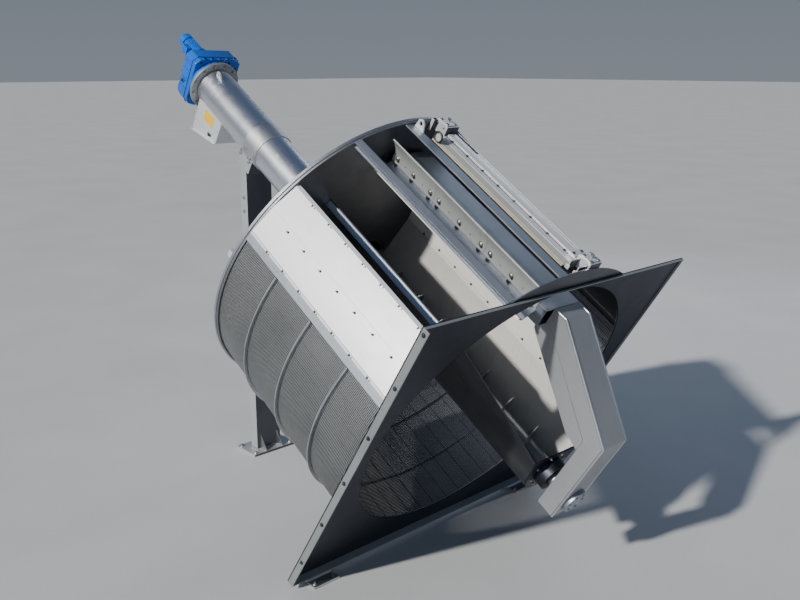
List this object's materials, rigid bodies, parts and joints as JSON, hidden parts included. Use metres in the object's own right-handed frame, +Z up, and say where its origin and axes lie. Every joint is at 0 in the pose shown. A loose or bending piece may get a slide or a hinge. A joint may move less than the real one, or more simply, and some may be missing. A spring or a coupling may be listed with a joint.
{
  "type": "drum fine screen",
  "caption": "Inclined drum fine screen with a turning rake, swinging comb, central screw trough, lift tube, discharge chute and blue gearmotor, free-standing on two feet and a leg",
  "frame": {"origin": "on the floor, in the middle plane of the drum, at mid length", "axes": "+X toward the low inlet end, +Y across, +Z up; the drum axis leans 32 degrees from level"},
  "size_m": [4.8854, 2.64, 3.8242],
  "materials": {
    "sheet": "satin",
    "tube": "brushed",
    "rake_steel": "satin",
    "dark_steel": "satin",
    "screen_bars": "satin",
    "blue_paint": "gloss",
    "comb_plastic": "matte",
    "cap_plastic": "matte"
  },
  "bodies": {
    "frame": {"basket": "screen_bars", "basket_hoop_1": "sheet", "basket_hoop_2": "sheet", "basket_hoop_3": "sheet", "chute": "sheet", "comb_bracket_lower": "sheet", "comb_bracket_upper": "sheet", "cross_bar": "sheet", "drive_flange": "blue_paint", "end_plate": "sheet", "end_rim": "sheet", "foot_far": "sheet", "foot_near": "sheet", "front_flange": "dark_steel", "front_plate": "dark_steel", "front_ring": "sheet", "gearbox": "blue_paint", "leg_saddle": "sheet", "lifting_eye": "sheet", "lower_bearing": "dark_steel", "motor": "blue_paint", "motor_flange": "blue_paint", "rim_rail": "sheet", "shaft_cap": "cap_plastic", "side_panel_far": "sheet", "side_panel_near": "sheet", "side_strip_far": "dark_steel", "side_strip_near": "dark_steel", "top_beam": "sheet", "trough": "sheet", "trough_end_plate": "dark_steel", "trough_lip": "sheet", "tube_collar": "sheet", "tube_flange": "dark_steel", "tube_leg": "sheet", "tube_lower": "tube", "tube_lug": "sheet", "tube_sleeve": "sheet", "tube_upper": "tube"},
    "rotor": {"rake_bar": "rake_steel", "rake_side_angle": "rake_steel", "rake_segment_1": "rake_steel", "rake_segment_2": "rake_steel", "rake_segment_3": "rake_steel", "rake_arm": "rake_steel", "rake_web_near": "rake_steel", "rake_web_far": "rake_steel", "hub_cap": "rake_steel", "screw_shaft": "rake_steel", "screw_flight_1": "rake_steel", "screw_flight_2": "rake_steel", "screw_flight_3": "rake_steel", "screw_flight_upper": "rake_steel"},
    "comb": {"comb_plate": "sheet", "comb_flange": "sheet", "comb_strip": "comb_plastic", "comb_shaft": "sheet"}
  },
  "joints": [
    {"name": "rake_turn", "type": "hinge", "parent": "frame", "child": "rotor", "pos_m": [0.77374, 0, 1.60334], "axis": [0.848, 0, -0.5299], "continuous": true},
    {"name": "comb_swing", "type": "hinge", "parent": "frame", "child": "comb", "pos_m": [1.40471, 0.19, 2.66971], "axis": [0.848, 0, -0.5299], "range_deg": [-20, 0]}
  ]
}
